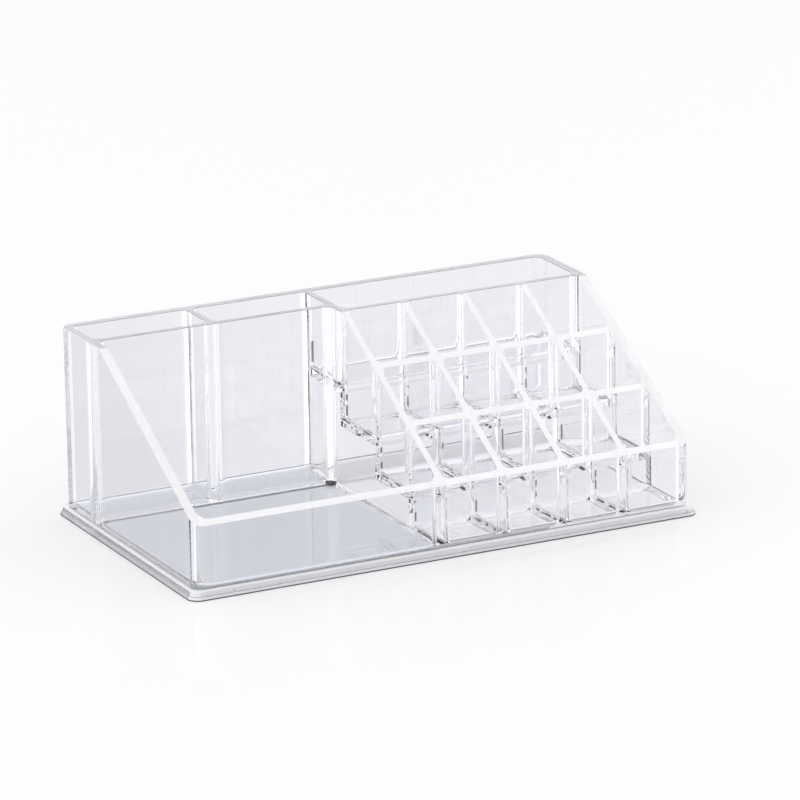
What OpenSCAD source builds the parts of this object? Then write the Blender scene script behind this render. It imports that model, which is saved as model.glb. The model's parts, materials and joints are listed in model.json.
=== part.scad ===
// Clear vanity organizer with three rear bays, a front tray and twelve stepped cells.
// Flat and bent panels stand on a bevelled base plate. A panel that meets the face of another
// one ends in a shallow groove there, and panels that cross are halved into each other.
// X runs along the length, Y from the front to the back, Z up. The origin is under the middle.

/* [Shell] */
// Outside length of the walls
shell_w = 225; // [212:1:245]
// Outside depth of the walls
shell_d = 128; // [118:1:145]
// Height of the level rear rim above the table
rear_h = 81; // [72:1:95]
// Height of the front rim above the table
front_h = 30.2; // [26.2:1:36.2]
// Depth of the level part of the rim, measured from the back face
level_d = 40; // [38:1:46]
// Outside radius of the upright corners
corner_r = 5; // [4:0.5:8]
// Inside radius of the upright corners
inside_r = 2; // [1:0.5:3]
// Thickness of the left and right walls
side_wall_t = 4; // [3:0.5:4.5]
// Thickness of the back wall
back_wall_t = 4; // [3:0.5:4.5]
// Thickness of the front wall
front_wall_t = 3; // [2.5:0.5:4.5]
// Length by which the front and back walls turn round each corner, past their own thickness
return_l = 3; // [3:0.5:6]

/* [Base] */
// Thickness of the base plate, whose top is the floor of the tray
base_t = 3.8; // [3:0.2:6]
// How far the foot of the base plate stands out from the walls
foot_out = 2.8; // [1.5:0.1:5]
// Width of the ledge that is left outside the walls on top of the base plate
ledge_w = 0.6; // [0.2:0.1:1.2]
// Height of the upright edge under the bevel
foot_h = 0.8; // [0.4:0.1:1.6]

/* [Inner panels] */
// Thickness of the partitions, dividers and cross walls
panel_t = 2.8; // [2.2:0.2:3.6]
// Depth of the grooves that hold the ends of the panels
groove_d = 1; // [0.5:0.1:1.2]
// Inside width of the front tray
tray_w = 105.6; // [96.6:1:110.6]
// Inside width of the left rear bay
left_bay_w = 51; // [40:1:60]
// Inside depth of the left and middle rear bays
bay_d = 22.2; // [18.2:1:26.2]
// Inside depth of the right rear bay
deep_bay_d = 31.2; // [29.2:1:34.2]

/* [Lipstick cells] */
// Inside depth of the front and middle rows of cells
cell_d = 26.4; // [22.4:0.5:27.4]
// Height from each floor of the stair to the next
rise = 14.5; // [8:0.5:18]
// Thickness of the raised floors
floor_t = 2.5; // [2:0.1:3.5]

/* [Hidden] */
columns = 4;
round_fn = 96;
// Overrun of every cut past the face that it opens
over = 1;

left_x = -shell_w / 2;
right_x = shell_w / 2;
front_y = -shell_d / 2;
rear_y = shell_d / 2;

// Inner faces of the outside walls
in_left = left_x + side_wall_t;
in_right = right_x - side_wall_t;
in_front = front_y + front_wall_t;
in_rear = rear_y - back_wall_t;

// Left faces of the dividers that run from front to back
centre_x = in_left + tray_w;
rear_divider_x = in_left + left_bay_w;
cells_x = centre_x + panel_t;
cell_w = (in_right - cells_x - (columns - 1) * panel_t) / columns;
function column_x(i) = cells_x + i * cell_w + (i - 1) * panel_t;

// Front faces of the panels that run from left to right
left_partition_y = in_rear - bay_d - panel_t;
right_partition_y = in_rear - deep_bay_d - panel_t;
front_cross_y = in_front + cell_d;
rear_cross_y = front_cross_y + panel_t + cell_d;

// Tops of the raised floors, from the front of the stair to the rear bay
middle_row_z = base_t + rise;
rear_row_z = base_t + 2 * rise;
deep_bay_z = base_t + 3 * rise;

// Height of the sloping rim at a given depth
function rim_z(y) = front_h + (rear_h - front_h) * (y - front_y) / (shell_d - level_d);

// Height of the blanks that the rim is cut from
blank_top = rear_h + over;

// Block between two opposite corners
module block(low, high) {
    translate(low)
        cube(high - low);
}

// Rectangle with round corners, given by its low and high corners
module rounded_plan(low, high, r) {
    translate([low.x + r, low.y])
        square([high.x - low.x - 2 * r, high.y - low.y]);
    translate([low.x, low.y + r])
        square([high.x - low.x, high.y - low.y - 2 * r]);
    for (x = [low.x + r, high.x - r], y = [low.y + r, high.y - r])
        translate([x, y])
            circle(r = r, $fn = round_fn);
}

// Extrudes an outline that is drawn in Y and Z along X, from x0 to x1
module along_x(x0, x1) {
    translate([x0, 0, 0])
        rotate([90, 0, 90])
            linear_extrude(height = x1 - x0)
                children();
}

// Cuts what is drawn to the rim, which is level at the back and slopes down to the front
module below_rim() {
    intersection() {
        children();
        along_x(left_x - over, right_x + over)
            polygon([
                [front_y - over, -over],
                [rear_y + over, -over],
                [rear_y + over, rear_h],
                [rear_y - level_d, rear_h],
                [front_y - over, rim_z(front_y - over)]
            ]);
    }
}

// Upright ring of the outside walls, between two depths
module wall_ring(y0, y1) {
    translate([0, 0, base_t])
        linear_extrude(height = blank_top - base_t)
            difference() {
                intersection() {
                    rounded_plan([left_x, front_y], [right_x, rear_y], corner_r);
                    translate([left_x - over, y0])
                        square([shell_w + 2 * over, y1 - y0]);
                }
                rounded_plan([in_left, in_front], [in_right, in_rear], inside_r);
            }
}

// Trapezium of the bevel, for one side half as long as half_l
module bevel_outline(half_l) {
    polygon([
        [-half_l - foot_out, foot_h],
        [half_l + foot_out, foot_h],
        [half_l + ledge_w, base_t],
        [-half_l - ledge_w, base_t]
    ]);
}

// Blank of the partition between the tray and the two rear bays behind it. A blank stands up past
// the rim, and drop lowers its foot where it cuts the groove for its own end in another panel.
module left_partition_blank(drop = 0) {
    block([in_left - groove_d, left_partition_y, base_t - drop],
          [centre_x + groove_d, left_partition_y + panel_t, blank_top]);
}

// Blank of the short divider between the left and middle rear bays
module rear_divider_blank(drop = 0) {
    block([rear_divider_x, left_partition_y + panel_t - groove_d, base_t - drop],
          [rear_divider_x + panel_t, in_rear + groove_d, blank_top]);
}

// Blank of the divider that runs from front to back between the tray and the cells
module centre_divider_blank(drop = 0) {
    block([centre_x, in_front - groove_d, base_t - drop],
          [centre_x + panel_t, in_rear + groove_d, blank_top]);
}

// Blank of a panel that spans the cells from the centre divider to the right wall
module cell_panel_blank(y0, foot_z) {
    block([cells_x - groove_d, y0, foot_z], [in_right + groove_d, y0 + panel_t, blank_top]);
}

// Raised floor that spans the cells, given by its top and its front and rear edges
module raised_floor(top_z, y0, y1) {
    block([cells_x - groove_d, y0, top_z - floor_t], [in_right + groove_d, y1, top_z]);
}

// Grooves for all that spans the cells, in the centre divider and the right wall
module cell_grooves() {
    cell_panel_blank(front_cross_y, base_t - over);
    cell_panel_blank(rear_cross_y, middle_row_z - over);
    cell_panel_blank(right_partition_y, rear_row_z - over);
    middle_row_floor();
    rear_row_floor();
    raised_floor(deep_bay_z, right_partition_y + panel_t - groove_d, in_rear + groove_d + over);
}

// Upright groove for the end of a column divider
module column_groove(i, y0, y1, foot_z) {
    block([column_x(i), y0, foot_z - over], [column_x(i) + panel_t, y1, blank_top]);
}

// Height at which a column divider and a cross wall are halved into each other
function halving_z(cross_y, foot_z) = (foot_z + rim_z(cross_y)) / 2;

// Notch from the rim down that lets a cross wall into a column divider
module upper_notch(i, cross_y, foot_z) {
    block([column_x(i) - over, cross_y, halving_z(cross_y, foot_z)],
          [column_x(i) + panel_t + over, cross_y + panel_t, blank_top + over]);
}

// Notch from the foot up that lets a column divider into a cross wall
module lower_notch(i, cross_y, foot_z) {
    block([column_x(i), cross_y - over, foot_z - over],
          [column_x(i) + panel_t, cross_y + panel_t + over, halving_z(cross_y, foot_z)]);
}

// Base plate: an upright foot, a bevel with conical corners and a flat top
module base_plate() {
    round_x = shell_w / 2 - corner_r;
    round_y = shell_d / 2 - corner_r;
    color([0.86, 0.87, 0.92, 0.55]) {
        linear_extrude(height = foot_h)
            rounded_plan([left_x - foot_out, front_y - foot_out],
                         [right_x + foot_out, rear_y + foot_out], corner_r + foot_out);
        along_x(-round_x, round_x)
            bevel_outline(shell_d / 2);
        rotate([0, 0, 90])
            along_x(-round_y, round_y)
                bevel_outline(shell_w / 2);
        for (x = [-round_x, round_x], y = [-round_y, round_y])
            translate([x, y, foot_h])
                cylinder(h = base_t - foot_h, r1 = corner_r + foot_out, r2 = corner_r + ledge_w,
                         $fn = round_fn);
    }
}

// Back wall, bent round both rear corners, with grooves for the dividers and the raised floor
module back_wall() {
    color([0.88, 0.88, 0.93, 0.45])
        below_rim()
            difference() {
                wall_ring(in_rear - return_l, rear_y + over);
                rear_divider_blank(over);
                centre_divider_blank(over);
                deep_bay_floor();
            }
}

// Front wall, bent round both front corners, with grooves for the dividers behind it
module front_wall() {
    color([0.88, 0.88, 0.93, 0.45])
        below_rim()
            difference() {
                wall_ring(front_y - over, in_front + return_l);
                centre_divider_blank(over);
                for (i = [1 : columns - 1])
                    column_groove(i, in_front - groove_d, in_front + over, base_t);
            }
}

// Flat side wall between the bent ends of the front and back walls
module side_wall(x0) {
    block([x0, in_front + return_l, base_t], [x0 + side_wall_t, in_rear - return_l, blank_top]);
}

module left_wall() {
    color([0.87, 0.88, 0.93, 0.45])
        below_rim()
            difference() {
                side_wall(left_x);
                left_partition_blank(over);
            }
}

module right_wall() {
    color([0.87, 0.88, 0.93, 0.45])
        below_rim()
            difference() {
                side_wall(in_right);
                cell_grooves();
            }
}

// Partition between the tray and the two rear bays behind it
module left_partition() {
    color([0.85, 0.86, 0.91, 0.45])
        below_rim()
            difference() {
                left_partition_blank();
                rear_divider_blank(over);
            }
}

// Partition between the cells and the right rear bay, standing on the floor of the rear row
module right_partition() {
    color([0.85, 0.86, 0.91, 0.45])
        below_rim()
            difference() {
                cell_panel_blank(right_partition_y, rear_row_z);
                deep_bay_floor();
                for (i = [1 : columns - 1])
                    column_groove(i, right_partition_y - over, right_partition_y + groove_d,
                                  rear_row_z);
            }
}

// Short divider between the left and middle rear bays
module rear_divider() {
    color([0.86, 0.87, 0.92, 0.45])
        below_rim()
            rear_divider_blank();
}

// Divider that runs from front to back between the tray and the cells
module centre_divider() {
    color([0.86, 0.87, 0.92, 0.45])
        below_rim()
            difference() {
                centre_divider_blank();
                left_partition_blank(over);
                cell_grooves();
            }
}

// Divider between two columns of cells, whose lower edge steps up the stair
module column_divider(i) {
    color([0.86, 0.87, 0.92, 0.45])
        below_rim()
            difference() {
                along_x(column_x(i), column_x(i) + panel_t)
                    polygon([
                        [in_front - groove_d, base_t],
                        [front_cross_y + panel_t, base_t],
                        [front_cross_y + panel_t, middle_row_z],
                        [rear_cross_y + panel_t, middle_row_z],
                        [rear_cross_y + panel_t, rear_row_z],
                        [right_partition_y + groove_d, rear_row_z],
                        [right_partition_y + groove_d, blank_top],
                        [in_front - groove_d, blank_top]
                    ]);
                upper_notch(i, front_cross_y, base_t);
                upper_notch(i, rear_cross_y, middle_row_z);
            }
}

// Cross wall that is halved into the column dividers, with a groove for the raised floor behind it
module cross_wall(y0, foot_z) {
    color([0.87, 0.88, 0.93, 0.45])
        below_rim()
            difference() {
                cell_panel_blank(y0, foot_z);
                for (i = [1 : columns - 1])
                    lower_notch(i, y0, foot_z);
                children();
            }
}

module front_cross_wall() {
    cross_wall(front_cross_y, base_t)
        middle_row_floor();
}

module rear_cross_wall() {
    cross_wall(rear_cross_y, middle_row_z)
        rear_row_floor();
}

module middle_row_floor() {
    color([0.84, 0.86, 0.91, 0.45])
        raised_floor(middle_row_z, front_cross_y + panel_t - groove_d, rear_cross_y + panel_t);
}

module rear_row_floor() {
    color([0.84, 0.86, 0.91, 0.45])
        raised_floor(rear_row_z, rear_cross_y + panel_t - groove_d, right_partition_y + panel_t);
}

module deep_bay_floor() {
    color([0.84, 0.86, 0.91, 0.45])
        raised_floor(deep_bay_z, right_partition_y + panel_t - groove_d, in_rear + groove_d);
}

base_plate();
back_wall();
front_wall();
left_wall();
right_wall();
left_partition();
right_partition();
rear_divider();
centre_divider();
column_divider(1);  // column_divider_1
column_divider(2);  // column_divider_2
column_divider(3);  // column_divider_3
front_cross_wall();
rear_cross_wall();
middle_row_floor();
rear_row_floor();
deep_bay_floor();
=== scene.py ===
import json
import math
import bpy
from mathutils import Matrix, Vector

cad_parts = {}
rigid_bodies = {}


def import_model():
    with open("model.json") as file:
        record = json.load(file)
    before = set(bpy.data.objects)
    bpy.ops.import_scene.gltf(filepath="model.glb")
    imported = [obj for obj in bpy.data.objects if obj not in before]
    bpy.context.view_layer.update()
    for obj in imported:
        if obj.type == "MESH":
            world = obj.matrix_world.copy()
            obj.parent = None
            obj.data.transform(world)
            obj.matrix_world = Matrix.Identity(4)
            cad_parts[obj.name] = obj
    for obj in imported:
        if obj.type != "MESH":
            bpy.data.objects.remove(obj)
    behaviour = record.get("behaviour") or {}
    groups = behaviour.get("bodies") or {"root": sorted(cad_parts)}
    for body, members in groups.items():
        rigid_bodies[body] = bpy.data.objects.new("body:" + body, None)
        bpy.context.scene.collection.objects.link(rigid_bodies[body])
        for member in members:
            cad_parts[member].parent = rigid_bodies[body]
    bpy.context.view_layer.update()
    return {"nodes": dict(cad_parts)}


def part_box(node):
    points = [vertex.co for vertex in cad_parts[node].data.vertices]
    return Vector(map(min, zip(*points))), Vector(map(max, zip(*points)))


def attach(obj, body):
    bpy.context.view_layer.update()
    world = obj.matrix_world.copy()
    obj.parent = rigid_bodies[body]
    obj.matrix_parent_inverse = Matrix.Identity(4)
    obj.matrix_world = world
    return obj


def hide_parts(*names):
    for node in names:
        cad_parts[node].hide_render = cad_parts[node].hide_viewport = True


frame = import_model()
print("frame loaded:", len(frame["nodes"]), "nodes")

mm = 0.001
hair = 0.01 * mm  # places closer than this are the same
facing = 0.9      # least share of its normal that a flat face has along the axis that it faces
across = 0.1      # most share that it has along the others

# Where the panels stand, read from the frame
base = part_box("base_plate")
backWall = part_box("back_wall")
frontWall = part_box("front_wall")
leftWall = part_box("left_wall")
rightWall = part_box("right_wall")
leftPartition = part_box("left_partition")
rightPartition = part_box("right_partition")
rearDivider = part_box("rear_divider")
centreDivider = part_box("centre_divider")
columnDividers = [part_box("column_divider_%d" % n) for n in (1, 2, 3)]
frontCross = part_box("front_cross_wall")
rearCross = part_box("rear_cross_wall")
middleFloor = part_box("middle_row_floor")
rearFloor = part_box("rear_row_floor")
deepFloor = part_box("deep_bay_floor")

groove = leftPartition[1].x - centreDivider[0].x  # how far a panel's end sits in its neighbour
insideLeft = leftWall[1].x
insideRight = rightWall[0].x
insideFront = centreDivider[0].y + groove
insideRear = centreDivider[1].y - groove
floorZ = base[1].z
topZ = backWall[1].z


def pickNothing():
    if bpy.context.object and bpy.context.object.mode != "OBJECT":
        bpy.ops.object.mode_set(mode="OBJECT")
    bpy.ops.object.select_all(action="DESELECT")


def pickOnly(piece):
    pickNothing()
    piece.select_set(True)
    bpy.context.view_layer.objects.active = piece


def addBlock(name, low, high, finish):
    # a cube between two corners, its place in its mesh
    pickNothing()
    low, high = Vector(low), Vector(high)
    bpy.ops.mesh.primitive_cube_add(size=1, location=(low + high) / 2)
    block = bpy.context.object
    block.name = name
    block.scale = high - low
    bpy.ops.object.transform_apply(location=True, rotation=True, scale=True)
    block.data.materials.append(finish)
    return block


def editAll(piece):
    # goes into edit mode with everything picked
    pickOnly(piece)
    bpy.ops.object.mode_set(mode="EDIT")
    bpy.ops.mesh.select_all(action="SELECT")


def editNone(piece, kind):
    # goes into edit mode to pick faces, edges or corners, and back with none picked
    pickOnly(piece)
    bpy.ops.object.mode_set(mode="EDIT")
    bpy.ops.mesh.select_mode(type=kind)
    bpy.ops.mesh.select_all(action="DESELECT")
    bpy.ops.object.mode_set(mode="OBJECT")


def editFaces(piece, wanted):
    editNone(piece, "FACE")
    for face in piece.data.polygons:
        face.select = wanted(face)
    bpy.ops.object.mode_set(mode="EDIT")


def facesUp(face):
    return face.normal.z > facing


def facesDown(face):
    return face.normal.z < -facing


def roundUprights(piece, radius, steps):
    editNone(piece, "EDGE")
    mesh = piece.data
    for edge in mesh.edges:
        first, second = [mesh.vertices[corner].co for corner in edge.vertices]
        edge.select = abs(first.x - second.x) < hair and abs(first.y - second.y) < hair
    bpy.ops.object.mode_set(mode="EDIT")
    bpy.ops.mesh.bevel(offset=radius, segments=steps, affect="EDGES")
    bpy.ops.object.mode_set(mode="OBJECT")


def carve(piece, tool, operation):
    # boolean with a tool, which is used up
    change = piece.modifiers.new("carve", "BOOLEAN")
    change.operation = operation
    change.solver = "EXACT"
    change.object = tool
    change.material_mode = "TRANSFER"
    pickOnly(piece)
    bpy.ops.object.modifier_apply(modifier=change.name)
    bpy.data.objects.remove(tool)


# Materials
def feed(tree, value, socket):
    # a number or a color is set on the socket, another node's output is linked to it
    if isinstance(value, (int, float, tuple)):
        socket.default_value = value
    else:
        tree.links.new(value, socket)


plasticLook = {
    "tint": (0.968, 0.968, 0.980, 1),
    "ior": 1.49,
    "waveScale": 18.0,
    "waveDetail": 1.0,
    "waveDepth": 0.01 * mm,
}


def makeClear():
    # polished face with the faint flow waves of moulded plastic
    look = plasticLook
    finish = bpy.data.materials.new("clearPlastic")
    finish.use_nodes = True
    tree = finish.node_tree
    shader = tree.nodes["Principled BSDF"]
    shader.inputs["Base Color"].default_value = look["tint"]
    shader.inputs["Roughness"].default_value = 0
    shader.inputs["IOR"].default_value = look["ior"]
    shader.inputs["Transmission Weight"].default_value = 1
    place = tree.nodes.new("ShaderNodeTexCoord")
    waves = tree.nodes.new("ShaderNodeTexNoise")
    waves.inputs["Scale"].default_value = look["waveScale"]
    waves.inputs["Detail"].default_value = look["waveDetail"]
    bump = tree.nodes.new("ShaderNodeBump")
    bump.inputs["Strength"].default_value = 1
    bump.inputs["Distance"].default_value = look["waveDepth"]
    feed(tree, place.outputs["Object"], waves.inputs["Vector"])
    feed(tree, waves.outputs["Fac"], bump.inputs["Height"])
    feed(tree, bump.outputs["Normal"], shader.inputs["Normal"])
    return finish


# Satins: the roughness is the cut plastic's own, the tints are painted light and shade: white painted
# highlight on the sloped rims, grey painted shade on the level rims and the bevel's front, dark painted
# shade lines and the darkest painted shadow lines. Only the underside's tint is the plastic's own.
satinAndPaintedToneLook = {
    "satinEdgePaintedHighlight": {"tint": (1.0, 1.0, 1.0, 1), "rough": 0.35, "through": 0.2},       # sloped rims
    "satinTopPaintedShade": {"tint": (0.76, 0.76, 0.78, 1), "rough": 0.3, "through": 0.5},      # level rims
    "satinRimPaintedShade": {"tint": (0.22, 0.22, 0.24, 1), "rough": 0.3, "through": 0.5},      # dark lines
    "satinBevelPaintedShade": {"tint": (0.95, 0.95, 0.96, 1), "rough": 0.3, "through": 0.4},    # front of the bevel
    "satinFoot": {"tint": (0.97, 0.97, 0.98, 1), "rough": 0.4, "through": 1.0},     # underside
    "satinLinePaintedShadow": {"tint": (0.05, 0.05, 0.055, 1), "rough": 0.4, "through": 0.3},    # darkest lines
}
grainLook = {"scale": 300.0, "spread": 0.06}  # unevenness of each satin


def makeSatinWithPaintedTone(name):
    # fine satin, a little uneven like a polished saw cut; its tint is painted highlight or painted shade,
    # except on the underside
    look = satinAndPaintedToneLook[name]
    finish = bpy.data.materials.new(name)
    finish.use_nodes = True
    tree = finish.node_tree
    shader = tree.nodes["Principled BSDF"]
    shader.inputs["Base Color"].default_value = look["tint"]
    shader.inputs["IOR"].default_value = plasticLook["ior"]
    shader.inputs["Transmission Weight"].default_value = look["through"]
    place = tree.nodes.new("ShaderNodeTexCoord")
    grain = tree.nodes.new("ShaderNodeTexNoise")
    grain.inputs["Scale"].default_value = grainLook["scale"]
    rough = tree.nodes.new("ShaderNodeMapRange")
    rough.inputs["To Min"].default_value = look["rough"] - grainLook["spread"]
    rough.inputs["To Max"].default_value = look["rough"] + grainLook["spread"]
    feed(tree, place.outputs["Object"], grain.inputs["Vector"])
    feed(tree, grain.outputs["Fac"], rough.inputs["Value"])
    feed(tree, rough.outputs["Result"], shader.inputs["Roughness"])
    return finish


glintLook = {
    "tint": (0.01, 0.01, 0.012, 1),
    "rough": 0.5,
    "scale": 230.0,
    "detail": 0.0,
    "level": 0.45,  # of the noise, above which a glint is dark
}


def makePaintedGlints():
    # tight inside edge: polished plastic broken by short dark glints painted in with noise, painted dark
    # reflections
    look = glintLook
    finish = clear.copy()
    finish.name = "paintedEdgeGlints"
    tree = finish.node_tree
    dark = tree.nodes.new("ShaderNodeBsdfPrincipled")
    dark.inputs["Base Color"].default_value = look["tint"]
    dark.inputs["Roughness"].default_value = look["rough"]
    place = tree.nodes.new("ShaderNodeTexCoord")
    noise = tree.nodes.new("ShaderNodeTexNoise")
    noise.inputs["Scale"].default_value = look["scale"]
    noise.inputs["Detail"].default_value = look["detail"]
    above = tree.nodes.new("ShaderNodeMath")
    above.operation = "GREATER_THAN"
    above.inputs[1].default_value = look["level"]
    mix = tree.nodes.new("ShaderNodeMixShader")
    feed(tree, place.outputs["Object"], noise.inputs["Vector"])
    feed(tree, noise.outputs["Fac"], above.inputs[0])
    feed(tree, above.outputs["Value"], mix.inputs["Fac"])
    feed(tree, tree.nodes["Principled BSDF"].outputs["BSDF"], mix.inputs[1])
    feed(tree, dark.outputs["BSDF"], mix.inputs[2])
    feed(tree, mix.outputs["Shader"], tree.nodes["Material Output"].inputs["Surface"])
    return finish


def makeBond():
    # face where two pieces are bonded: nothing to see
    finish = bpy.data.materials.new("bondedFace")
    finish.use_nodes = True
    tree = finish.node_tree
    tree.nodes.remove(tree.nodes["Principled BSDF"])
    through = tree.nodes.new("ShaderNodeBsdfTransparent")
    feed(tree, through.outputs["BSDF"], tree.nodes["Material Output"].inputs["Surface"])
    return finish


clear = makeClear()
satinsAndPaintedTones = {name: makeSatinWithPaintedTone(name) for name in satinAndPaintedToneLook}
paintedGlints = makePaintedGlints()
bond = makeBond()
print("finishes made")


def slotOf(piece, finish):
    # number of a finish among the piece's materials, added if it isn't there yet
    names = [own.name for own in piece.data.materials]
    if finish.name not in names:
        piece.data.materials.append(finish)
        return len(names)
    return names.index(finish.name)


# Base plate
plateLook = {
    "cornerRadius": 5 * mm,
    "cornerSteps": 8,
    "footHeight": 0.5 * mm,
    # steps of the bevel from the foot upwards: how far in and how far up
    "bevel": (
        (0.50 * mm, 1.00 * mm),
        (0.30 * mm, 0.10 * mm),
        (0.50 * mm, 1.60 * mm),
        (0.80 * mm, 0.60 * mm),
    ),
}


def makePlate():
    # round block with a stepped bevel up to the ledge round the walls
    look = plateLook
    plate = addBlock("plate", base[0], (base[1].x, base[1].y, look["footHeight"]), clear)
    roundUprights(plate, look["cornerRadius"], look["cornerSteps"])
    editFaces(plate, facesUp)
    for inwards, upwards in look["bevel"]:
        bpy.ops.mesh.inset(thickness=inwards, depth=upwards)
    bpy.ops.object.mode_set(mode="OBJECT")
    # The bevel's faces get painted light and shade: the vertical foot the darkest painted shadow all
    # round, the band under the ledge and the front's round corners a white painted highlight, the front's
    # near-level step a dark painted shade line, the rest of the front a greyer painted shade. The
    # underside is frosted.
    names = ("satinFoot", "satinLinePaintedShadow", "satinEdgePaintedHighlight", "satinBevelPaintedShade", "satinRimPaintedShade")
    underside, foot, upper, front, step = [slotOf(plate, satinsAndPaintedTones[name]) for name in names]
    upperZ = floorZ - look["bevel"][-1][1]
    for face in plate.data.polygons:
        if facesDown(face):
            face.material_index = underside
        elif abs(face.normal.z) < across:
            face.material_index = foot
        elif face.center.z > upperZ and not facesUp(face):
            face.material_index = upper
        elif face.normal.y < -across and facesUp(face):
            face.material_index = step
        elif face.normal.y < -across:
            face.material_index = upper if abs(face.normal.x) > across else front
    return plate


# Outside walls, as one block that the compartments are carved from
shellLook = {
    "levelDepth": 40 * mm,      # level part of the rim, from the back face
    "frontHeight": 30.2 * mm,   # rim at the front face
    "cornerRadius": 5 * mm,
    "cornerSteps": 14,
    "grooveHeight": 0.35 * mm,  # shadow groove round the foot of the walls
    "grooveDepth": 0.5 * mm,
    "seat": 0.6 * mm,           # how far the walls reach into the base plate before the two are parted
    "seam": 0.1 * mm,           # height of that joint over the plate's floor
}
kneeY = backWall[1].y - shellLook["levelDepth"]
rimSlope = (topZ - shellLook["frontHeight"]) / (kneeY - frontWall[0].y)
seamZ = floorZ + shellLook["seam"]


def makeShell():
    look = shellLook
    grooveZ = floorZ + look["grooveHeight"]
    shell = addBlock("shell", (backWall[0].x, frontWall[0].y, grooveZ), backWall[1], clear)
    roundUprights(shell, look["cornerRadius"], look["cornerSteps"])
    editFaces(shell, facesDown)
    bpy.ops.mesh.inset(thickness=look["grooveDepth"])
    bpy.ops.mesh.extrude_region_move(
        TRANSFORM_OT_translate={"value": (0, 0, -look["grooveHeight"] - look["seat"])})
    bpy.ops.object.mode_set(mode="OBJECT")
    # The groove's faces take the darkest satin: a painted shadow in the groove.
    shade = slotOf(shell, satinsAndPaintedTones["satinLinePaintedShadow"])
    for face in shell.data.polygons:
        if face.center.z < grooveZ + look["seam"]:
            face.material_index = shade
    editAll(shell)
    rimNormal = (0, look["frontHeight"] - topZ, kneeY - frontWall[0].y)
    bpy.ops.mesh.bisect(plane_co=(0, kneeY, topZ), plane_no=rimNormal, use_fill=True, clear_outer=True)
    bpy.ops.object.mode_set(mode="OBJECT")
    return shell


# Compartments
pocketLook = {
    "trayCorner": 4.4 * mm,  # upright inside corners
    "bayCorner": 3.2 * mm,
    "cellCorner": 2.4 * mm,
    "cornerSteps": 8,
    "trayCove": 2.2 * mm,    # round between the floor and the walls
    "bayCove": 3.2 * mm,
    "cellCove": 3.0 * mm,
    "coveSteps": 10,
}
lineLook = {
    "glintHeight": 9 * mm,        # of the glints up a cell's rear left corner
    # shares of a face's normal, first and last, between which a round has its painted dark glints or
    # painted shade line
    "footGlints": (0.60, 0.86),
    "rearGlints": (0.15, 0.86),
    "frontLine": (0.30, 0.95),
    "partitionLine": (0.80, 1.00),
    # a patch of painted shadow sits in the tray's rear right corner
    "cornerPatch": 0.2,           # least share each way in the tray's rear right corner
    "towards": 0.3,               # least share towards the wall that a round runs along
    "leftAside": 0.6,             # most share past it, at the left wall
    "frontAside": 0.3,            # and at the front wall
}


def makePocket(x0, x1, y0, y1, z0, corner, cove):
    # tool for one compartment: round upright corners and a round foot
    steps = pocketLook["coveSteps"]
    tool = addBlock("pocket", (x0, y0, z0 + cove), (x1, y1, topZ + cove), clear)
    roundUprights(tool, corner, pocketLook["cornerSteps"])
    editAll(tool)
    # a cut at the top of the painted glints up the rear left corner
    bpy.ops.mesh.bisect(plane_co=(0, 0, z0 + cove + lineLook["glintHeight"]), plane_no=(0, 0, 1))
    bpy.ops.object.mode_set(mode="OBJECT")
    editFaces(tool, facesDown)
    middle = Vector(((x0 + x1) / 2, (y0 + y1) / 2, z0))
    halfX, halfY = (x1 - x0) / 2, (y1 - y0) / 2
    inwards, downwards = 0, 0
    for step in range(1, steps + 1):
        angle = math.pi / 2 * step / steps
        nextIn = cove * (1 - math.cos(angle))
        nextDown = cove * math.sin(angle)
        bpy.ops.mesh.extrude_region_move(TRANSFORM_OT_translate={"value": (0, 0, downwards - nextDown)})
        bpy.ops.transform.resize(
            value=((halfX - nextIn) / (halfX - inwards), (halfY - nextIn) / (halfY - inwards), 1),
            center_override=middle)
        inwards, downwards = nextIn, nextDown
    bpy.ops.object.mode_set(mode="OBJECT")
    return tool


def markFaces(tool, finish, wanted):
    slot = slotOf(tool, finish)
    for face in tool.data.polygons:
        if wanted(face.center, face.normal):
            face.material_index = slot


def onLeftEdge(z0):
    # narrow band along the round between floor and left wall, and up the rear left corner, that gets the
    # painted dark glints
    look = lineLook
    glintTop = z0 + pocketLook["cellCove"] + look["glintHeight"]

    def wanted(middle, normal):
        first, last = look["footGlints"]
        if first < -normal.z < last and normal.x < -look["towards"] and abs(normal.y) < look["leftAside"]:
            return True
        first, last = look["rearGlints"]
        corner = abs(normal.z) < across and first < -normal.x < last and normal.y > across
        return corner and middle.z < glintTop
    return wanted


def onFrontEdge(middle, normal):
    # round between the floor and the front wall, for a painted shade line
    look = lineLook
    first, last = look["frontLine"]
    return first < -normal.z < last and normal.y < -look["towards"] and abs(normal.x) < look["frontAside"]


def onPartitionFoot(middle, normal):
    # lowest part of the round between the tray's floor and the left partition, for a painted shade line
    first, last = lineLook["partitionLine"]
    return first < -normal.z < last and normal.y > across


def onTrayCorner(middle, normal):
    # foot of the tray's rear right corner, for a patch of painted shadow
    least = lineLook["cornerPatch"]
    return -normal.z > least and normal.x > least and normal.y > least


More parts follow.
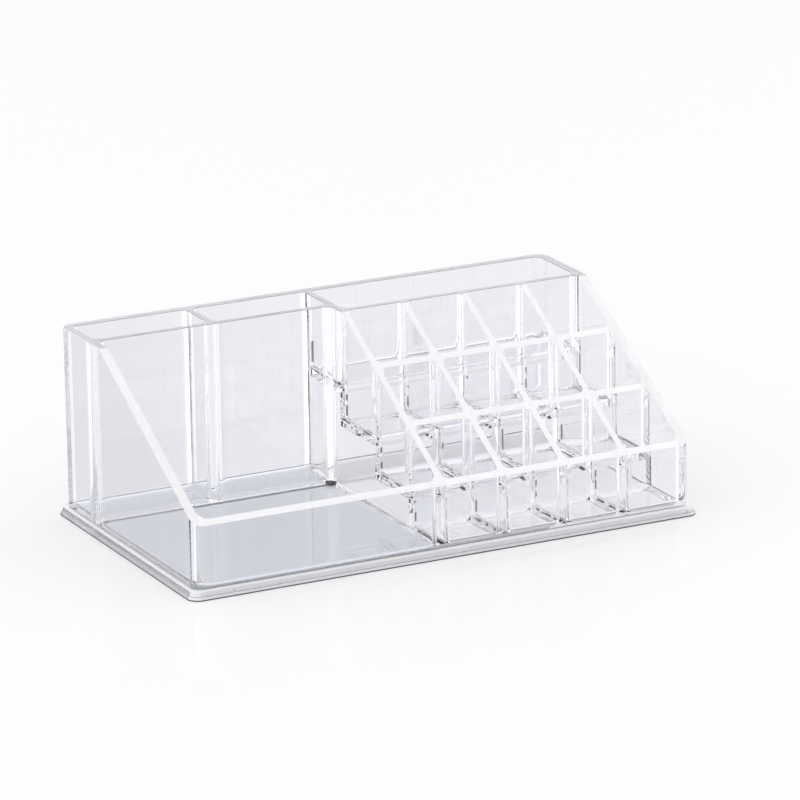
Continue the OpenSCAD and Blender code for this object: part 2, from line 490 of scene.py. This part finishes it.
def makePockets():
    look = pocketLook
    bays = [
        (insideLeft, rearDivider[0].x, leftPartition[1].y, insideRear, floorZ),
        (rearDivider[1].x, centreDivider[0].x, leftPartition[1].y, insideRear, floorZ),
        (centreDivider[1].x, insideRight, rightPartition[1].y, insideRear, deepFloor[1].z),
    ]
    tools = [makePocket(*bay, look["bayCorner"], look["bayCove"]) for bay in bays]
    # painted dark glints in the deep bay
    markFaces(tools[-1], paintedGlints, onLeftEdge(deepFloor[1].z))
    tray = makePocket(insideLeft, centreDivider[0].x, insideFront, leftPartition[0].y, floorZ,
                      look["trayCorner"], look["trayCove"])
    # in the tray, a painted shade line at the partition's foot and a patch of painted shadow in the rear
    # right corner
    markFaces(tray, satinsAndPaintedTones["satinRimPaintedShade"], onPartitionFoot)
    markFaces(tray, satinsAndPaintedTones["satinLinePaintedShadow"], onTrayCorner)
    tools.append(tray)
    starts = [centreDivider[1].x] + [divider[1].x for divider in columnDividers]
    ends = [divider[0].x for divider in columnDividers] + [insideRight]
    rows = [
        (insideFront, frontCross[0].y, floorZ),
        (frontCross[1].y, rearCross[0].y, middleFloor[1].z),
        (rearCross[1].y, rightPartition[0].y, rearFloor[1].z),
    ]
    for x0, x1 in zip(starts, ends):
        for y0, y1, z0 in rows:
            cell = makePocket(x0, x1, y0, y1, z0, look["cellCorner"], look["cellCove"])
            # painted dark glints in each cell, and a painted shade line at the front of the cells on the
            # plate's floor
            markFaces(cell, paintedGlints, onLeftEdge(z0))
            if z0 == floorZ:
                markFaces(cell, satinsAndPaintedTones["satinRimPaintedShade"], onFrontEdge)
            tools.append(cell)
    return tools


def joinAll(pieces):
    pickNothing()
    for piece in pieces:
        piece.select_set(True)
    bpy.context.view_layer.objects.active = pieces[0]
    bpy.ops.object.join()
    return bpy.context.object


def makeHollow():
    # the closed space under the raised floors, as one stepped block
    x0, x1 = centreDivider[1].x, insideRight
    hollow = addBlock("hollow", (x0, rightPartition[1].y, floorZ), (x1, insideRear, deepFloor[0].z), clear)
    stairs = (
        (rearFloor[0].z, rearCross[1].y, rightPartition[1].y),
        (middleFloor[0].z, frontCross[1].y, rearCross[1].y),
    )
    for stepZ, y0, y1 in stairs:
        editAll(hollow)
        bpy.ops.mesh.bisect(plane_co=(0, 0, stepZ), plane_no=(0, 0, 1))
        bpy.ops.object.mode_set(mode="OBJECT")
        editFaces(hollow, lambda face: face.normal.y < -facing and face.center.z < stepZ
                  and abs(face.center.y - y1) < hair)
        bpy.ops.mesh.extrude_region_move(TRANSFORM_OT_translate={"value": (0, y0 - y1, 0)})
        bpy.ops.object.mode_set(mode="OBJECT")
    return hollow


# Rims
rimLook = {
    "radius": 0.45 * mm,
    "steps": 3,
    # shares of a face's normal that tell the faces on and beside a rim
    "level": 0.99,      # least upwards on a level rim
    "slopeUp": 0.8,     # least upwards on a sloped one
    "slopeFront": 0.4,  # least towards the front on a sloped one
    "aside": 0.01,      # most to the side on a sloped one
    # a rim's finish is its painted highlight or painted shade
    "upwards": 0.05,    # least upwards on a face that takes a rim's finish
    "flat": 0.98,       # least upwards on the flat of a level rim, beside its round edges
}


def onRim(face):
    look = rimLook
    if face.normal.z > look["level"] and face.center.z > topZ - hair:
        return True
    sloped = face.normal.y < -look["slopeFront"] and face.normal.z > look["slopeUp"]
    return sloped and abs(face.normal.x) < look["aside"]


def roundRims(body):
    # eases the edges between a rim and the faces beside it
    mesh = body.data
    sides = {}
    for face in mesh.polygons:
        rim = onRim(face)
        for key in face.edge_keys:
            sides.setdefault(key, []).append(rim)
    wanted = {key for key, rims in sides.items() if len(rims) == 2 and rims[0] != rims[1]}
    editNone(body, "EDGE")
    for line in mesh.edges:
        line.select = line.key in wanted
    bpy.ops.object.mode_set(mode="EDIT")
    bpy.ops.mesh.bevel(offset=rimLook["radius"], segments=rimLook["steps"], affect="EDGES",
                       clamp_overlap=True)
    bpy.ops.object.mode_set(mode="OBJECT")
    print("rims rounded:", len(wanted), "edges")


def flattenTop(body):
    # the bevel lifts the knee of the rim a little, so it goes back to the rim's height
    editNone(body, "VERT")
    for corner in body.data.vertices:
        corner.select = corner.co.z > topZ
    bpy.ops.object.mode_set(mode="EDIT")
    bpy.ops.transform.resize(value=(1, 1, 0), center_override=(0, 0, topZ))
    bpy.ops.object.mode_set(mode="OBJECT")


def paintRimHighlightsAndShade(body):
    # painted highlight and painted shade on the rims: white satin on the sloped rims, grey on the level
    # ones, whose round edges are dark but white on the left wall
    look = rimLook
    names = ("satinEdgePaintedHighlight", "satinTopPaintedShade", "satinRimPaintedShade")
    sloped, level, line = [slotOf(body, satinsAndPaintedTones[name]) for name in names]
    for face in body.data.polygons:
        middle = face.center
        if face.normal.z < look["upwards"]:
            continue
        if middle.y < kneeY and middle.z > topZ - rimSlope * (kneeY - middle.y) - look["radius"]:
            face.material_index = sloped
        elif middle.z > topZ - look["radius"]:
            face.material_index = level
            if face.normal.z < look["flat"]:
                face.material_index = sloped if middle.x < insideLeft + look["radius"] else line


body = makeShell()
carve(body, makePlate(), "UNION")
print("shell on its plate:", len(body.data.polygons), "faces")
carve(body, joinAll(makePockets()), "DIFFERENCE")
print("compartments:", len(body.data.polygons), "faces")
carve(body, makeHollow(), "DIFFERENCE")
print("hollow:", len(body.data.polygons), "faces")
roundRims(body)
flattenTop(body)
paintRimHighlightsAndShade(body)
print("body:", len(body.data.polygons), "faces")

# Pieces, parted from the body a little way from each corner
cutLook = {
    "foot": 4.6 * mm,      # a panel on the base plate keeps this much of its cove
    "stub": 2.8 * mm,      # and this much of the panels that meet it
    "lift": 1.2 * mm,      # a raised floor keeps this much of the walls on it
    "over": 5 * mm,
    "airFilm": 0.02 * mm,  # under a panel that stands in its groove unbonded
}
cut = cutLook
outX, outY = base[1].x + cut["over"], base[1].y + cut["over"]
lowZ, highZ = seamZ, topZ + cut["over"]
filmZ = seamZ + cut["airFilm"]
leftX = insideLeft + cut["foot"]
rightX = insideRight - cut["foot"]
frontY = insideFront + cut["foot"]
rearY = insideRear - cut["foot"]
centreX0 = centreDivider[0].x - cut["foot"]
centreX1 = centreDivider[1].x + cut["foot"]
partitionY0 = leftPartition[0].y - cut["foot"]
partitionY1 = leftPartition[1].y + cut["foot"]
frontCrossY0 = frontCross[0].y - cut["foot"]
frontCrossY1 = frontCross[1].y + cut["stub"]
rearCrossY0 = rearCross[0].y - cut["stub"]
rearCrossY1 = rearCross[1].y + cut["stub"]
rightPartitionY0 = rightPartition[0].y - cut["stub"]
rightPartitionY1 = rightPartition[1].y + cut["stub"]
middleZ = middleFloor[1].z + cut["lift"]
rearZ = rearFloor[1].z + cut["lift"]


def halvingZ(cross):
    # half way up the crossing of a column divider and a cross wall
    rimZ = topZ - rimSlope * (kneeY - (cross[0].y + cross[1].y) / 2)
    return (rimZ + cross[0].z) / 2


columnSpans = [(divider[0].x - cut["stub"], divider[1].x + cut["stub"]) for divider in columnDividers]
crossings = [
    (frontCrossY0, frontCrossY1, halvingZ(frontCross)),
    (rearCrossY0, rearCrossY1, halvingZ(rearCross)),
]


def clearSeam(piece, z, low, high):
    # a level joint with a film of air, so it shines like a polished face
    shine = slotOf(piece, clear)
    for face in piece.data.polygons:
        middle = face.center
        inside = low[0] < middle.x < high[0] and low[1] < middle.y < high[1]
        if inside and abs(face.normal.z) > facing and abs(middle.z - z) < hair:
            face.material_index = shine


def takePiece(name, node, blocks, holes=(), unbonded=False):
    # what the body has inside the blocks and outside the holes
    if unbonded:
        blocks = [((*low[:2], max(low[2], filmZ)), high) for low, high in blocks]
    region = addBlock("region", *blocks[0], bond)
    for block in blocks[1:]:
        carve(region, addBlock("region", *block, bond), "UNION")
    for hole in holes:
        carve(region, addBlock("region", *hole, bond), "DIFFERENCE")
    piece = body.copy()
    piece.data = body.data.copy()
    piece.name = name
    bpy.context.scene.collection.objects.link(piece)
    carve(piece, region, "INTERSECT")
    if unbonded:
        for low, high in blocks:
            clearSeam(piece, filmZ, low, high)
            clearSeam(pieces[0], seamZ, low, high)
    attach(piece, "root")
    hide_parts(node)
    pieces.append(piece)


def takeOutside():
    # base plate and outside walls
    takePiece("basePlate", "base_plate", [((-outX, -outY, base[0].z - cut["over"]), (outX, outY, seamZ))])
    takePiece("frontWall", "front_wall", [((-outX, -outY, lowZ), (outX, frontY, highZ))])
    takePiece("backWall", "back_wall", [((-outX, rearY, lowZ), (outX, outY, highZ))])
    takePiece("leftWall", "left_wall", [((-outX, frontY, lowZ), (leftX, rearY, highZ))], unbonded=True)
    takePiece("rightWall", "right_wall", [((rightX, frontY, lowZ), (outX, rearY, highZ))], unbonded=True)


def takePartitions():
    # panels between the tray, the bays and the cells
    takePiece("leftPartition", "left_partition",
              [((leftX, partitionY0, lowZ), (centreX0, partitionY1, highZ))], unbonded=True)
    takePiece("rearDivider", "rear_divider", [((leftX, partitionY1, lowZ), (centreX0, rearY, highZ))])
    takePiece("centreDivider", "centre_divider",
              [((centreX0, frontY, lowZ), (centreX1, rearY, highZ))], unbonded=True)


def takeColumns():
    # the column dividers give way to the cross walls in the upper half of each crossing
    for number, (x0, x1) in enumerate(columnSpans, 1):
        blocks = [
            ((x0, frontY, lowZ), (x1, frontCrossY1, highZ)),
            ((x0, frontCrossY0, middleZ), (x1, rearCrossY1, highZ)),
            ((x0, rearCrossY0, rearZ), (x1, rightPartitionY0, highZ)),
        ]
        holes = [((x0 - cut["over"], y0, z), (x1 + cut["over"], y1, highZ + cut["over"]))
                 for y0, y1, z in crossings]
        takePiece("columnDivider%d" % number, "column_divider_%d" % number, blocks, holes, unbonded=True)


def takeCrossWalls():
    for name, node, (y0, y1, z), bottom in (
            ("frontCrossWall", "front_cross_wall", crossings[0], lowZ),
            ("rearCrossWall", "rear_cross_wall", crossings[1], middleZ)):
        holes = [((x0, y0 - cut["over"], bottom - cut["over"]), (x1, y1 + cut["over"], z))
                 for x0, x1 in columnSpans]
        takePiece(name, node, [((centreX1, y0, bottom), (rightX, y1, highZ))], holes)


def takeStairs():
    # raised floors, and the partition behind the cells
    takePiece("middleRowFloor", "middle_row_floor",
              [((centreX1, frontCrossY1, lowZ), (rightX, rearCrossY1, middleZ))])
    takePiece("rearRowFloor", "rear_row_floor",
              [((centreX1, rearCrossY1, lowZ), (rightX, rightPartitionY1, rearZ))])
    takePiece("rightPartition", "right_partition",
              [((centreX1, rightPartitionY0, rearZ), (rightX, rightPartitionY1, highZ))])
    takePiece("deepBayFloor", "deep_bay_floor",
              [((centreX1, rightPartitionY1, lowZ), (rightX, rearY, highZ))])


finishLook = {
    "weld": 0.002 * mm,  # corners closer than this are merged
    "roundAngle": 35,    # degrees up to which two faces shade as one curve
    "weight": 80,        # of the large faces in the shading of their corners
}


def smoothRounds(piece):
    # fillets shade as curves, flat faces stay flat
    look = finishLook
    editAll(piece)
    bpy.ops.mesh.remove_doubles(threshold=look["weld"])
    bpy.ops.object.mode_set(mode="OBJECT")
    bpy.ops.object.shade_smooth_by_angle(angle=math.radians(look["roundAngle"]))
    weights = piece.modifiers.new("weights", "WEIGHTED_NORMAL")
    weights.keep_sharp = True
    weights.weight = look["weight"]
    bpy.ops.object.modifier_apply(modifier=weights.name)


pieces = []
takeOutside()
takePartitions()
takeColumns()
takeCrossWalls()
takeStairs()
bpy.data.objects.remove(body)
for piece in pieces:
    smoothRounds(piece)
    print(piece.name, len(piece.data.polygons), "faces")

# Table and studio
white = (1, 1, 1, 1)
wholeTurn = 360  # degrees
colorA, colorB, colorOut = 6, 7, 2  # color sockets of the Mix node


def mixShaders(tree, share, first, second):
    node = tree.nodes.new("ShaderNodeMixShader")
    feed(tree, share, node.inputs["Fac"])
    feed(tree, first, node.inputs[1])
    feed(tree, second, node.inputs[2])
    return node.outputs["Shader"]


def mixColors(tree, share, first, second):
    node = tree.nodes.new("ShaderNodeMix")
    node.data_type = "RGBA"
    feed(tree, share, node.inputs["Factor"])
    feed(tree, first, node.inputs[colorA])
    feed(tree, second, node.inputs[colorB])
    return node.outputs[colorOut]


def fade(tree, value, start, end, first, second):
    # smooth step from first to second as value goes from start to end
    node = tree.nodes.new("ShaderNodeMapRange")
    node.interpolation_type = "SMOOTHSTEP"
    feed(tree, value, node.inputs["Value"])
    for name, number in (("From Min", start), ("From Max", end), ("To Min", first), ("To Max", second)):
        feed(tree, number, node.inputs[name])
    return node.outputs["Result"]


def calc(tree, operation, first, second=0):
    node = tree.nodes.new("ShaderNodeMath")
    node.operation = operation
    feed(tree, first, node.inputs[0])
    feed(tree, second, node.inputs[1])
    return node.outputs["Value"]


def turnedPlace(tree, output, degrees=0):
    # x, y and z after a turn about Z
    place = tree.nodes.new("ShaderNodeTexCoord")
    turned = tree.nodes.new("ShaderNodeMapping")
    turned.inputs["Rotation"].default_value = (0, 0, math.radians(degrees))
    parts = tree.nodes.new("ShaderNodeSeparateXYZ")
    feed(tree, place.outputs[output], turned.inputs["Vector"])
    feed(tree, turned.outputs["Vector"], parts.inputs["Vector"])
    return parts.outputs["X"], parts.outputs["Y"], parts.outputs["Z"]


floorLook = {
    "size": 6.0,
    "drop": 0.1 * mm,  # below the organizer's underside
    "tint": white,
    "rough": 0.08,
    "glow": 0.5,       # share of even white
    # grey glow of the table in reflections: painted shade
    "paintedShadeInReflections": (0.62, 0.62, 0.65, 1),
}
paintedTableLightAndShadeLook = {
    # painted shade and painted light of the table under the base plate, as they show through it: a glow
    # darker under the tray, the bays and left of the organizer, brighter under the cells and past its
    # other edges
    "tint": (0.97, 1.0, 1.08, 1),
    "cellTint": (1.0, 1.0, 1.02, 1),
    "tray": 0.87,
    "bays": 0.80,
    "cells": 1.22,
    "edge": 1.5,
    "leftEdge": 0.8,
    "soft": 2 * mm,  # half width of the change between two zones
}


def glow(tree, color, strength=1):
    node = tree.nodes.new("ShaderNodeEmission")
    feed(tree, color, node.inputs["Color"])
    feed(tree, strength, node.inputs["Strength"])
    return node.outputs["Emission"]


def change(tree, value, at, first, second):
    # soft change at one place
    soft = paintedTableLightAndShadeLook["soft"]
    return fade(tree, value, at - soft, at + soft, first, second)


def paintedTableLightAndShade(tree, x, y):
    # painted shade and painted light of the table under the organizer, zone by zone
    look = paintedTableLightAndShadeLook
    tone = change(tree, x, centreDivider[0].x, look["tray"], look["cells"])
    tone = change(tree, y, leftPartition[0].y, tone, look["bays"])
    tone = change(tree, calc(tree, "ABSOLUTE", y), backWall[1].y, tone, look["edge"])
    tone = change(tree, calc(tree, "ABSOLUTE", x), backWall[1].x, tone, look["edge"])
    return change(tree, x, backWall[0].x, look["leftEdge"], tone)


def paintedTableTint(tree, x):
    # painted tint of that glow, bluer left of the centre divider than right of it
    share = change(tree, x, centreDivider[0].x, 0, 1)
    return mixColors(tree, share, paintedTableLightAndShadeLook["tint"], paintedTableLightAndShadeLook["cellTint"])


def underPlate(tree, x, y):
    # 1 under the base plate, 0 elsewhere
    inX = calc(tree, "LESS_THAN", calc(tree, "ABSOLUTE", x), base[1].x)
    inY = calc(tree, "LESS_THAN", calc(tree, "ABSOLUTE", y), base[1].y)
    return calc(tree, "MULTIPLY", inX, inY)


def makeFloor():
    # white table, evenly bright to the camera; in reflections and through the plastic it glows with
    # painted shade and painted light
    look = floorLook
    pickNothing()
    bpy.ops.mesh.primitive_plane_add(size=look["size"], location=(0, 0, -look["drop"]))
    floor = bpy.context.object
    floor.name = "floor"
    finish = bpy.data.materials.new("whiteTable")
    finish.use_nodes = True
    tree = finish.node_tree
    shader = tree.nodes["Principled BSDF"]
    shader.inputs["Base Color"].default_value = look["tint"]
    shader.inputs["Roughness"].default_value = look["rough"]
    lit = shader.outputs["BSDF"]
    path = tree.nodes.new("ShaderNodeLightPath").outputs
    x, y = turnedPlace(tree, "Object")[:2]
    seen = mixShaders(tree, look["glow"], lit, glow(tree, white))
    # in reflections the table is a grey glow: painted shade
    mirrored = mixShaders(tree, path["Is Glossy Ray"], lit, glow(tree, look["paintedShadeInReflections"]))
    beyond = tree.nodes.new("ShaderNodeBsdfTransparent")  # past the plate, plastic shows the horizon
    # through the plastic, the table under the plate glows with painted shade and painted light
    table = glow(tree, paintedTableTint(tree, x), paintedTableLightAndShade(tree, x, y))
    below = mixShaders(tree, underPlate(tree, x, y), beyond.outputs["BSDF"], table)
    unseen = mixShaders(tree, path["Is Transmission Ray"], mirrored, below)
    final = mixShaders(tree, path["Is Camera Ray"], unseen, seen)
    feed(tree, final, tree.nodes["Material Output"].inputs["Surface"])
    floor.data.materials.append(finish)
    print("table made")


studioLook = {
    "viewTurn": 26.6,  # degrees from +Y to the way that the camera looks
    # tones of the studio: degrees to the right of the view, and tone
    "below": (
        (-180, 1.10), (-105, 1.15), (-80, 1.25), (-60, 0.92), (-46, 0.90), (-36, 1.15), (-25, 1.15),
        (-14, 0.84), (-3.6, 0.84), (-2.4, 0.88), (-1.4, 0.91), (12, 0.91), (24, 1.25), (40, 1.60),
        (80, 1.60), (108, 1.25), (122, 0.93), (140, 0.93), (165, 1.10), (180, 1.10),
    ),
    "level": ((-180, 1.05), (-120, 1.15), (-60, 1.05), (0, 0.78), (60, 1.15), (120, 0.85), (180, 1.05)),
    "high": ((-180, 0.90), (-90, 1.25), (0, 0.90), (90, 1.15), (180, 0.90)),
    "levelFrom": (-0.05, 0.05),  # heights of a direction between which the next tones take over
    "highFrom": (0.35, 0.5),
    "tint": (1.0, 1.0, 1.02),
    "cameraPlace": (0.43, -0.855, 0.29),  # where the dark camera stands, seen from the organizer
    "cameraSpread": (0.96, 0.985),        # how near to that a direction is, from its edge to its middle
    "cameraTone": 0.05,
}


def toneRound(tree, turn, tones):
    # tones along a turn about the organizer
    node = tree.nodes.new("ShaderNodeValToRGB")
    stops = node.color_ramp.elements
    while len(stops) < len(tones):
        stops.new(1)
    for stop, (degrees, tone) in zip(stops, tones):
        stop.position = (degrees + wholeTurn / 2) / wholeTurn
        stop.color = [tone * part for part in studioLook["tint"]] + [1]
    feed(tree, turn, node.inputs["Fac"])
    return node.outputs["Color"]


def makeWorld():
    # pale studio: brighter to the sides than ahead, with the dark camera as the one small dark thing
    look = studioLook
    world = bpy.data.worlds.new("studio")
    bpy.context.scene.world = world
    world.use_nodes = True
    tree = world.node_tree
    side, ahead, up = turnedPlace(tree, "Generated", look["viewTurn"])
    turn = tree.nodes.new("ShaderNodeMapRange")
    turn.inputs["From Min"].default_value = -math.pi
    turn.inputs["From Max"].default_value = math.pi
    feed(tree, calc(tree, "ARCTAN2", side, ahead), turn.inputs["Value"])
    below, level, high = [
        toneRound(tree, turn.outputs["Result"], look[name]) for name in ("below", "level", "high")]
    tone = mixColors(tree, fade(tree, up, *look["levelFrom"], 0, 1), below, level)
    tone = mixColors(tree, fade(tree, up, *look["highFrom"], 0, 1), tone, high)
    towards = tree.nodes.new("ShaderNodeVectorMath")
    towards.operation = "DOT_PRODUCT"
    towards.inputs[1].default_value = Vector(look["cameraPlace"]).normalized()
    place = tree.nodes.new("ShaderNodeTexCoord")
    feed(tree, place.outputs["Generated"], towards.inputs[0])
    sky = tree.nodes["Background"]
    feed(tree, tone, sky.inputs["Color"])
    strength = fade(tree, towards.outputs["Value"], *look["cameraSpread"], 1, look["cameraTone"])
    feed(tree, strength, sky.inputs["Strength"])
    seen = tree.nodes.new("ShaderNodeBackground")
    seen.inputs["Color"].default_value = white
    path = tree.nodes.new("ShaderNodeLightPath")
    final = mixShaders(tree, path.outputs["Is Camera Ray"], sky.outputs["Background"],
                       seen.outputs["Background"])
    feed(tree, final, tree.nodes["World Output"].inputs["Surface"])
    print("studio made")


makeFloor()
makeWorld()

# Camera, fitted to the photograph
cameraLook = {
    "lens": 258.72,
    "sensorWidth": 36,
    "distance": 2.3631,
    "farEnd": 50,
    "aim": (9.295 * mm, -4.004 * mm, 48.740 * mm),
    "azimuth": -26.6212,
    "elevation": 16.8489,
    "roll": -0.8542,
    "levelTilt": 90,  # degrees from looking straight down to looking level
}


def turnAbout(axis, degrees):
    return Matrix.Rotation(math.radians(degrees), 4, axis)


def makeCamera():
    look = cameraLook
    data = bpy.data.cameras.new("camera")
    data.lens = look["lens"]
    data.sensor_width = look["sensorWidth"]
    data.clip_end = look["farEnd"]
    camera = bpy.data.objects.new("camera", data)
    bpy.context.scene.collection.objects.link(camera)
    tilt = look["levelTilt"] - look["elevation"]
    turn = turnAbout("Z", look["azimuth"]) @ turnAbout("X", tilt) @ turnAbout("Z", look["roll"])
    back = Matrix.Translation((0, 0, look["distance"]))
    camera.matrix_world = Matrix.Translation(look["aim"]) @ turn @ back
    bpy.context.scene.camera = camera
    print("camera set")


makeCamera()

# Light passes many clear walls one behind the other
bounceLook = {"all": 40, "transmission": 40, "glossy": 24, "transparent": 64}
scene = bpy.context.scene
scene.view_settings.view_transform = "Standard"
scene.cycles.max_bounces = bounceLook["all"]
scene.cycles.transmission_bounces = bounceLook["transmission"]
scene.cycles.glossy_bounces = bounceLook["glossy"]
scene.cycles.transparent_max_bounces = bounceLook["transparent"]
